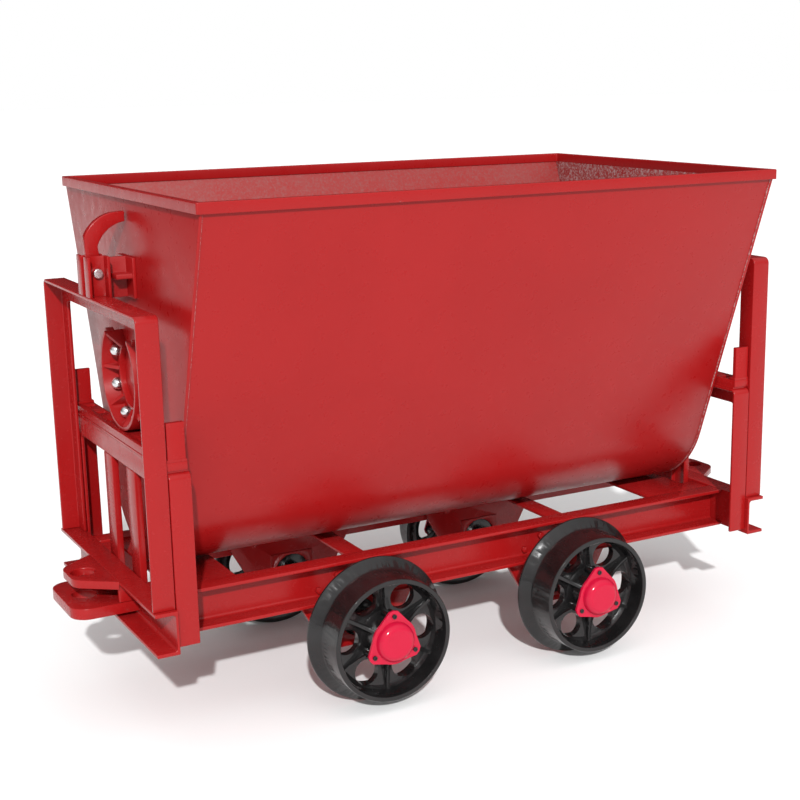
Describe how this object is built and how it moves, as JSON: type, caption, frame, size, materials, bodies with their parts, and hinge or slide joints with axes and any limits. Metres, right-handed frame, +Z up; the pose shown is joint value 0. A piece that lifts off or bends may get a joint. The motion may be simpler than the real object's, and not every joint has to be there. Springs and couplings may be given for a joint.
{
  "type": "rocker tipping mine car",
  "caption": "Side-tipping rail mine car: a V-shaped steel hopper rolls on rocker rings across a channel frame with guard hoops, swan-neck latches, drawbar plates and flanged wheels.",
  "frame": {"origin": "middle of the car on the plane under the wheel flanges", "axes": "+X along the track, +Y across the track, +Z up; the car is mirrored about both upright middle planes"},
  "size_m": [1.906, 0.96, 1.221],
  "materials": {
    "frame_red": "gloss red enamel over rolled steel",
    "hopper_red": "gloss red enamel over steel plate",
    "bright_steel": "bright machined steel",
    "black_iron": "gloss black paint on cast iron",
    "cap_red": "gloss crimson enamel",
    "black_screw": "blackened screw steel"
  },
  "bodies": {
    "chassis": {"side_sill_n": "frame_red", "side_sill_f": "frame_red", "end_beam_l": "frame_red", "end_beam_r": "frame_red", "guard_hoop_l": "frame_red", "guard_hoop_r": "frame_red", "rail_bridge_l": "frame_red", "rail_bridge_r": "frame_red", "roll_rail_l": "frame_red", "roll_rail_r": "frame_red", "rail_stops": "frame_red", "end_struts_l": "frame_red", "end_struts_r": "frame_red", "coupler_upper_l": "frame_red", "coupler_upper_r": "frame_red", "coupler_lower_l": "frame_red", "coupler_lower_r": "frame_red", "coupler_cheeks": "frame_red", "cross_ties": "frame_red", "end_decks": "frame_red", "axle_pedestals": "frame_red", "pedestal_bolts": "frame_red", "latch_clevis_l": "frame_red", "latch_clevis_r": "frame_red", "latch_pin_l": "bright_steel", "latch_pin_r": "bright_steel", "axle_l": "bright_steel", "axle_r": "bright_steel", "axle_nuts": "bright_steel", "axle_blocks": "black_iron"},
    "rocker_carriage": {"rocker_bosses": "hopper_red"},
    "hopper": {"hopper_sheet": "hopper_red", "hopper_end_l": "hopper_red", "hopper_end_r": "hopper_red", "hopper_rim": "hopper_red", "rocker_l": "hopper_red", "rocker_r": "hopper_red", "rocker_bolts": "bright_steel", "latch_keeper_l": "hopper_red", "latch_keeper_r": "hopper_red"},
    "lever_l": {"latch_lever_l": "frame_red"},
    "lever_r": {"latch_lever_r": "frame_red"},
    "wheel_ln_set": {"wheel_ln": "black_iron", "bearings_ln": "bright_steel", "hub_cap_ln": "cap_red", "cap_screws_ln": "black_screw"},
    "wheel_lf_set": {"wheel_lf": "black_iron", "bearings_lf": "bright_steel", "hub_cap_lf": "cap_red", "cap_screws_lf": "black_screw"},
    "wheel_rn_set": {"wheel_rn": "black_iron", "bearings_rn": "bright_steel", "hub_cap_rn": "cap_red", "cap_screws_rn": "black_screw"},
    "wheel_rf_set": {"wheel_rf": "black_iron", "bearings_rf": "bright_steel", "hub_cap_rf": "cap_red", "cap_screws_rf": "black_screw"}
  },
  "joints": [
    {"name": "rocker_roll", "type": "slide", "parent": "chassis", "child": "rocker_carriage", "axis": [0, -1, 0], "range_m": [-0.21, 0.21]},
    {"name": "hopper_tip", "type": "hinge", "parent": "rocker_carriage", "child": "hopper", "pos_m": [0, 0, 0.7933], "axis": [1, 0, 0], "range_deg": [-95, 95]},
    {"name": "latch_swing_l", "type": "hinge", "parent": "chassis", "child": "lever_l", "pos_m": [-0.82, 0, 1.036], "axis": [0, -1, 0], "range_deg": [0, 100]},
    {"name": "latch_swing_r", "type": "hinge", "parent": "chassis", "child": "lever_r", "pos_m": [0.82, 0, 1.036], "axis": [0, 1, 0], "range_deg": [0, 100]},
    {"name": "wheel_spin_ln", "type": "hinge", "parent": "chassis", "child": "wheel_ln_set", "pos_m": [-0.29, 0, 0.178], "axis": [0, 1, 0], "continuous": true},
    {"name": "wheel_spin_lf", "type": "hinge", "parent": "chassis", "child": "wheel_lf_set", "pos_m": [-0.29, 0, 0.178], "axis": [0, 1, 0], "continuous": true},
    {"name": "wheel_spin_rn", "type": "hinge", "parent": "chassis", "child": "wheel_rn_set", "pos_m": [0.29, 0, 0.178], "axis": [0, 1, 0], "continuous": true},
    {"name": "wheel_spin_rf", "type": "hinge", "parent": "chassis", "child": "wheel_rf_set", "pos_m": [0.29, 0, 0.178], "axis": [0, 1, 0], "continuous": true}
  ],
  "couplings": [
    {"joint": "rocker_roll", "follows": "hopper_tip", "m_per_rad": 0.125}
  ]
}
